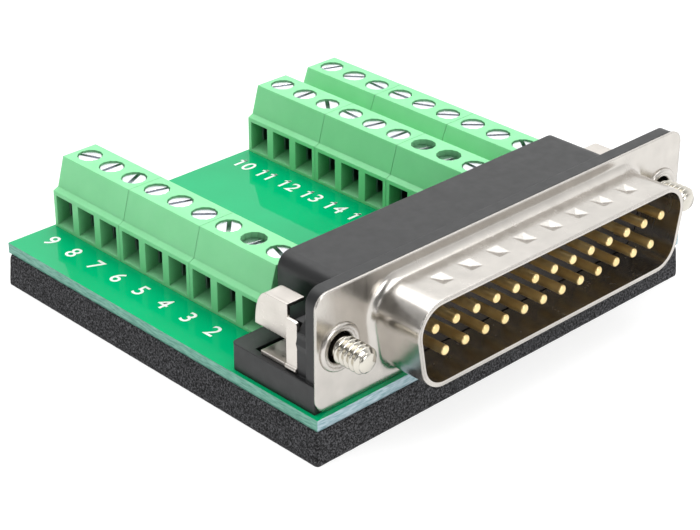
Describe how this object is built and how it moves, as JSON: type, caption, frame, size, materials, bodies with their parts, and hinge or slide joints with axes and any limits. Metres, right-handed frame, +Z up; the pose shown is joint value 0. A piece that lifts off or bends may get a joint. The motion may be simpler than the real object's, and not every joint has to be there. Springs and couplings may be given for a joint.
{
  "type": "d-sub terminal block adapter",
  "caption": "Plug connector on a small circuit board that brings each contact out to a screw clamp terminal, on a foam pad.",
  "frame": {"origin": "centre of the foam pad's underside", "axes": "+Z up, the connector looks along -Y, X runs along the connector"},
  "size_m": [0.0538, 0.0541, 0.0172],
  "materials": {
    "foam": "matt open-cell foam",
    "board": "glossy lacquer",
    "nickel": "nickel plate",
    "bracket_metal": "nickel plate",
    "screw_metal": "bright zinc plate",
    "clamp_metal": "tinned",
    "gold": "gold flash",
    "black_plastic": "fine moulded",
    "dark_plastic": "fine moulded",
    "green_plastic": "satin moulded"
  },
  "bodies": {
    "adapter": {"foam_pad": "foam", "circuit_board": "board", "dsub_shell": "nickel", "dsub_housing": "black_plastic", "contact_insulator": "dark_plastic", "upper_contacts": "gold", "lower_contacts": "gold", "left_eyelet": "nickel", "right_eyelet": "nickel", "left_bracket": "bracket_metal", "right_bracket": "bracket_metal", "terminal_block_01_03": "green_plastic", "terminal_block_04_06": "green_plastic", "terminal_block_07_09": "green_plastic", "terminal_block_10_12": "green_plastic", "terminal_block_13_15": "green_plastic", "terminal_block_16_18": "green_plastic", "terminal_block_19_21": "green_plastic", "terminal_block_22_24": "green_plastic", "terminal_block_25_27": "green_plastic", "clamp_frames_01_03": "clamp_metal", "clamp_frames_04_06": "clamp_metal", "clamp_frames_07_09": "clamp_metal", "clamp_frames_10_12": "clamp_metal", "clamp_frames_13_15": "clamp_metal", "clamp_frames_16_18": "clamp_metal", "clamp_frames_19_21": "clamp_metal", "clamp_frames_22_24": "clamp_metal", "clamp_frames_25_27": "clamp_metal"},
    "left_jackscrew_body": {"left_jackscrew": "screw_metal"},
    "right_jackscrew_body": {"right_jackscrew": "screw_metal"},
    "terminal_screw_01_body": {"terminal_screw_01": "screw_metal"},
    "terminal_screw_02_body": {"terminal_screw_02": "screw_metal"},
    "terminal_screw_03_body": {"terminal_screw_03": "screw_metal"},
    "terminal_screw_04_body": {"terminal_screw_04": "screw_metal"},
    "terminal_screw_05_body": {"terminal_screw_05": "screw_metal"},
    "terminal_screw_06_body": {"terminal_screw_06": "screw_metal"},
    "terminal_screw_07_body": {"terminal_screw_07": "screw_metal"},
    "terminal_screw_08_body": {"terminal_screw_08": "screw_metal"},
    "terminal_screw_09_body": {"terminal_screw_09": "screw_metal"},
    "terminal_screw_10_body": {"terminal_screw_10": "screw_metal"},
    "terminal_screw_11_body": {"terminal_screw_11": "screw_metal"},
    "terminal_screw_12_body": {"terminal_screw_12": "screw_metal"},
    "terminal_screw_13_body": {"terminal_screw_13": "screw_metal"},
    "terminal_screw_14_body": {"terminal_screw_14": "screw_metal"},
    "terminal_screw_15_body": {"terminal_screw_15": "screw_metal"},
    "terminal_screw_16_body": {"terminal_screw_16": "screw_metal"},
    "terminal_screw_17_body": {"terminal_screw_17": "screw_metal"},
    "terminal_screw_18_body": {"terminal_screw_18": "screw_metal"},
    "terminal_screw_19_body": {"terminal_screw_19": "screw_metal"},
    "terminal_screw_20_body": {"terminal_screw_20": "screw_metal"},
    "terminal_screw_21_body": {"terminal_screw_21": "screw_metal"},
    "terminal_screw_22_body": {"terminal_screw_22": "screw_metal"},
    "terminal_screw_23_body": {"terminal_screw_23": "screw_metal"},
    "terminal_screw_24_body": {"terminal_screw_24": "screw_metal"},
    "terminal_screw_25_body": {"terminal_screw_25": "screw_metal"},
    "terminal_screw_26_body": {"terminal_screw_26": "screw_metal"},
    "terminal_screw_27_body": {"terminal_screw_27": "screw_metal"}
  },
  "joints": [
    {"name": "left_jackscrew_turn", "type": "hinge", "parent": "adapter", "child": "left_jackscrew_body", "pos_m": [-0.02352, -0.02368, 0.01094], "axis": [0, -1, 0], "continuous": true},
    {"name": "right_jackscrew_turn", "type": "hinge", "parent": "adapter", "child": "right_jackscrew_body", "pos_m": [0.02352, -0.02368, 0.01094], "axis": [0, -1, 0], "continuous": true},
    {"name": "terminal_screw_01_turn", "type": "hinge", "parent": "adapter", "child": "terminal_screw_01_body", "pos_m": [-0.017, -0.00839, 0.0121], "axis": [0, 0, 1], "range_deg": [-2340, 0]},
    {"name": "terminal_screw_02_turn", "type": "hinge", "parent": "adapter", "child": "terminal_screw_02_body", "pos_m": [-0.017, -0.00458, 0.0121], "axis": [0, 0, 1], "range_deg": [-1890, 450]},
    {"name": "terminal_screw_03_turn", "type": "hinge", "parent": "adapter", "child": "terminal_screw_03_body", "pos_m": [-0.017, -0.00077, 0.0121], "axis": [0, 0, 1], "range_deg": [-2340, 0]},
    {"name": "terminal_screw_04_turn", "type": "hinge", "parent": "adapter", "child": "terminal_screw_04_body", "pos_m": [-0.017, 0.00304, 0.0121], "axis": [0, 0, 1], "range_deg": [-2340, 0]},
    {"name": "terminal_screw_05_turn", "type": "hinge", "parent": "adapter", "child": "terminal_screw_05_body", "pos_m": [-0.017, 0.00685, 0.0121], "axis": [0, 0, 1], "range_deg": [-2340, 0]},
    {"name": "terminal_screw_06_turn", "type": "hinge", "parent": "adapter", "child": "terminal_screw_06_body", "pos_m": [-0.017, 0.01066, 0.0121], "axis": [0, 0, 1], "range_deg": [-2340, 0]},
    {"name": "terminal_screw_07_turn", "type": "hinge", "parent": "adapter", "child": "terminal_screw_07_body", "pos_m": [-0.017, 0.01447, 0.0121], "axis": [0, 0, 1], "range_deg": [-2340, 0]},
    {"name": "terminal_screw_08_turn", "type": "hinge", "parent": "adapter", "child": "terminal_screw_08_body", "pos_m": [-0.017, 0.01828, 0.0121], "axis": [0, 0, 1], "range_deg": [-2340, 0]},
    {"name": "terminal_screw_09_turn", "type": "hinge", "parent": "adapter", "child": "terminal_screw_09_body", "pos_m": [-0.017, 0.02209, 0.0121], "axis": [0, 0, 1], "range_deg": [-2340, 0]},
    {"name": "terminal_screw_10_turn", "type": "hinge", "parent": "adapter", "child": "terminal_screw_10_body", "pos_m": [0.0111, 0.02209, 0.0121], "axis": [0, 0, 1], "range_deg": [-2340, 0]},
    {"name": "terminal_screw_11_turn", "type": "hinge", "parent": "adapter", "child": "terminal_screw_11_body", "pos_m": [0.0111, 0.01828, 0.0121], "axis": [0, 0, 1], "range_deg": [-2340, 0]},
    {"name": "terminal_screw_12_turn", "type": "hinge", "parent": "adapter", "child": "terminal_screw_12_body", "pos_m": [0.0111, 0.01447, 0.0121], "axis": [0, 0, 1], "range_deg": [-2340, 0]},
    {"name": "terminal_screw_13_turn", "type": "hinge", "parent": "adapter", "child": "terminal_screw_13_body", "pos_m": [0.0111, 0.01066, 0.0121], "axis": [0, 0, 1], "range_deg": [-2340, 0]},
    {"name": "terminal_screw_14_turn", "type": "hinge", "parent": "adapter", "child": "terminal_screw_14_body", "pos_m": [0.0111, 0.00685, 0.0121], "axis": [0, 0, 1], "range_deg": [-2340, 0]},
    {"name": "terminal_screw_15_turn", "type": "hinge", "parent": "adapter", "child": "terminal_screw_15_body", "pos_m": [0.0111, 0.00304, 0.0121], "axis": [0, 0, 1], "range_deg": [-2340, 0]},
    {"name": "terminal_screw_16_turn", "type": "hinge", "parent": "adapter", "child": "terminal_screw_16_body", "pos_m": [0.0111, -0.00077, 0.0121], "axis": [0, 0, 1], "range_deg": [-1890, 450]},
    {"name": "terminal_screw_17_turn", "type": "hinge", "parent": "adapter", "child": "terminal_screw_17_body", "pos_m": [0.0111, -0.00458, 0.0121], "axis": [0, 0, 1], "range_deg": [-1890, 450]},
    {"name": "terminal_screw_18_turn", "type": "hinge", "parent": "adapter", "child": "terminal_screw_18_body", "pos_m": [0.0111, -0.00839, 0.0121], "axis": [0, 0, 1], "range_deg": [-2340, 0]},
    {"name": "terminal_screw_19_turn", "type": "hinge", "parent": "adapter", "child": "terminal_screw_19_body", "pos_m": [0.01905, -0.00839, 0.0121], "axis": [0, 0, 1], "range_deg": [-2340, 0]},
    {"name": "terminal_screw_20_turn", "type": "hinge", "parent": "adapter", "child": "terminal_screw_20_body", "pos_m": [0.01905, -0.00458, 0.0121], "axis": [0, 0, 1], "range_deg": [-2340, 0]},
    {"name": "terminal_screw_21_turn", "type": "hinge", "parent": "adapter", "child": "terminal_screw_21_body", "pos_m": [0.01905, -0.00077, 0.0121], "axis": [0, 0, 1], "range_deg": [-2340, 0]},
    {"name": "terminal_screw_22_turn", "type": "hinge", "parent": "adapter", "child": "terminal_screw_22_body", "pos_m": [0.01905, 0.00304, 0.0121], "axis": [0, 0, 1], "range_deg": [-2340, 0]},
    {"name": "terminal_screw_23_turn", "type": "hinge", "parent": "adapter", "child": "terminal_screw_23_body", "pos_m": [0.01905, 0.00685, 0.0121], "axis": [0, 0, 1], "range_deg": [-2340, 0]},
    {"name": "terminal_screw_24_turn", "type": "hinge", "parent": "adapter", "child": "terminal_screw_24_body", "pos_m": [0.01905, 0.01066, 0.0121], "axis": [0, 0, 1], "range_deg": [-2340, 0]},
    {"name": "terminal_screw_25_turn", "type": "hinge", "parent": "adapter", "child": "terminal_screw_25_body", "pos_m": [0.01905, 0.01447, 0.0121], "axis": [0, 0, 1], "range_deg": [-2340, 0]},
    {"name": "terminal_screw_26_turn", "type": "hinge", "parent": "adapter", "child": "terminal_screw_26_body", "pos_m": [0.01905, 0.01828, 0.0121], "axis": [0, 0, 1], "range_deg": [-2340, 0]},
    {"name": "terminal_screw_27_turn", "type": "hinge", "parent": "adapter", "child": "terminal_screw_27_body", "pos_m": [0.01905, 0.02209, 0.0121], "axis": [0, 0, 1], "range_deg": [-2340, 0]}
  ]
}
